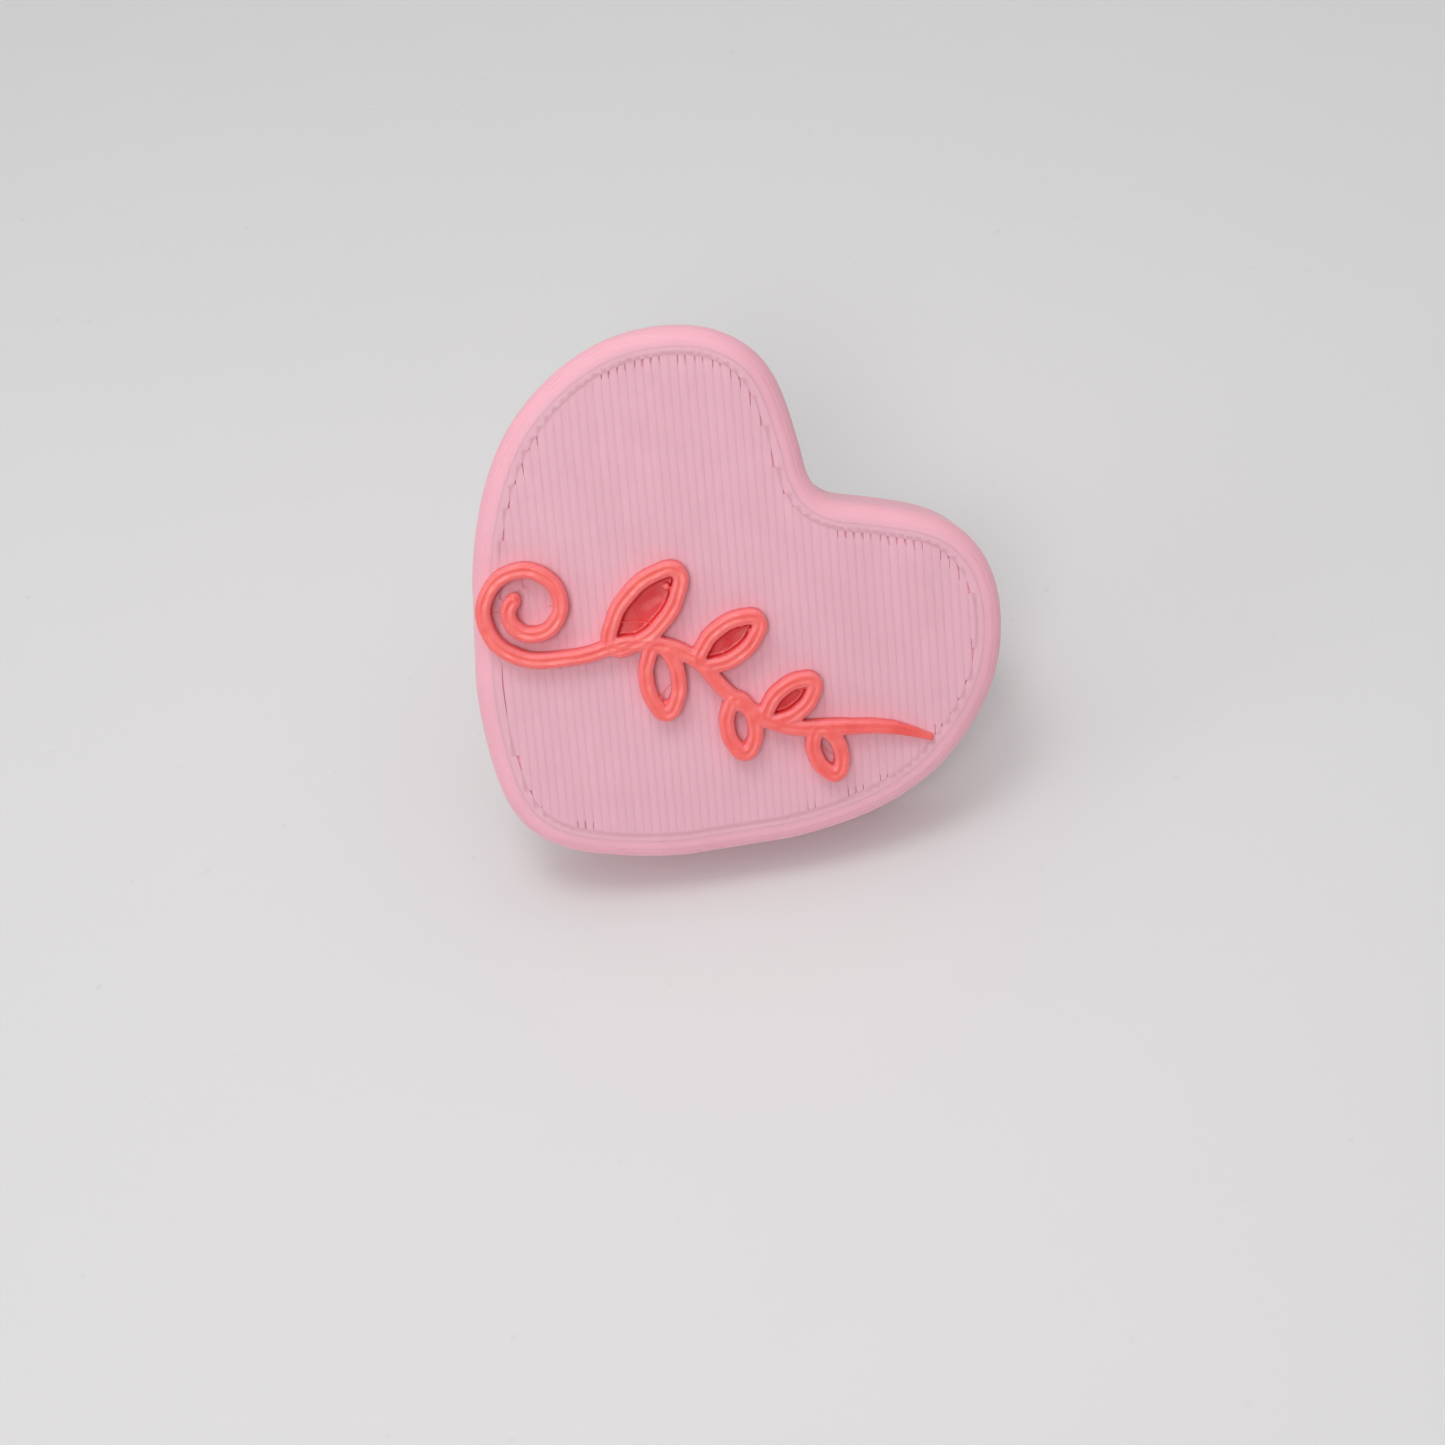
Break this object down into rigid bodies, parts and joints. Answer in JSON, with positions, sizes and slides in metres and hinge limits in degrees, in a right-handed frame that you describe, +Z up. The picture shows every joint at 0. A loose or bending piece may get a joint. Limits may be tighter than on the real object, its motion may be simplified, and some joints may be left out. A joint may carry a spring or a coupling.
{
  "type": "pin badge",
  "caption": "Printed heart badge with a rounded front edge and a raised scroll, a glued tack pin and a butterfly clutch, shown leaning on its flank.",
  "frame": {"origin": "on the table, under the centre of the box round the leaning badge", "axes": "+Z up, -Y towards the side the badge's face leans towards, +X to the right as seen from the face's side; X is the box's longest side"},
  "size_m": [0.0268, 0.021, 0.0241],
  "materials": {
    "pink_print": "pale pink printed plastic with fine 45 degree lines on the face and layer lines round the edge",
    "coral_print": "bright coral printed plastic, slightly glossy and slightly stringy",
    "clear_glue": "clear set glue",
    "nickel_plate": "nickel plated steel, satin",
    "brass_sheet": "stamped brass, lightly tumbled",
    "spring_wire": "drawn spring wire"
  },
  "bodies": {
    "heart": {"heart_body": "pink_print", "flourish": "coral_print", "glue_pad": "clear_glue", "pin_base": "nickel_plate", "pin_post": "nickel_plate"},
    "clutch": {"clutch_plate": "brass_sheet", "clutch_spring": "spring_wire"},
    "lower_wing": {"wing_lower": "brass_sheet"},
    "upper_wing": {"wing_upper": "brass_sheet"}
  },
  "joints": [
    {"name": "clutch_pull", "type": "slide", "parent": "heart", "child": "clutch", "axis": [0, 0.8096, -0.5869], "range_m": [-0.002, 0.008]},
    {"name": "lower_wing_squeeze", "type": "hinge", "parent": "clutch", "child": "lower_wing", "pos_m": [-0.0012, 0.00381, 0.00478], "axis": [1, 0, 0], "range_deg": [0, 12], "stiffness_Nm_per_rad": 0.02},
    {"name": "upper_wing_squeeze", "type": "hinge", "parent": "clutch", "child": "upper_wing", "pos_m": [-0.0012, 0.00586, 0.00761], "axis": [-1, 0, 0], "range_deg": [0, 12], "stiffness_Nm_per_rad": 0.02}
  ],
  "couplings": [
    {"joint": "upper_wing_squeeze", "follows": "lower_wing_squeeze", "ratio": 1}
  ]
}
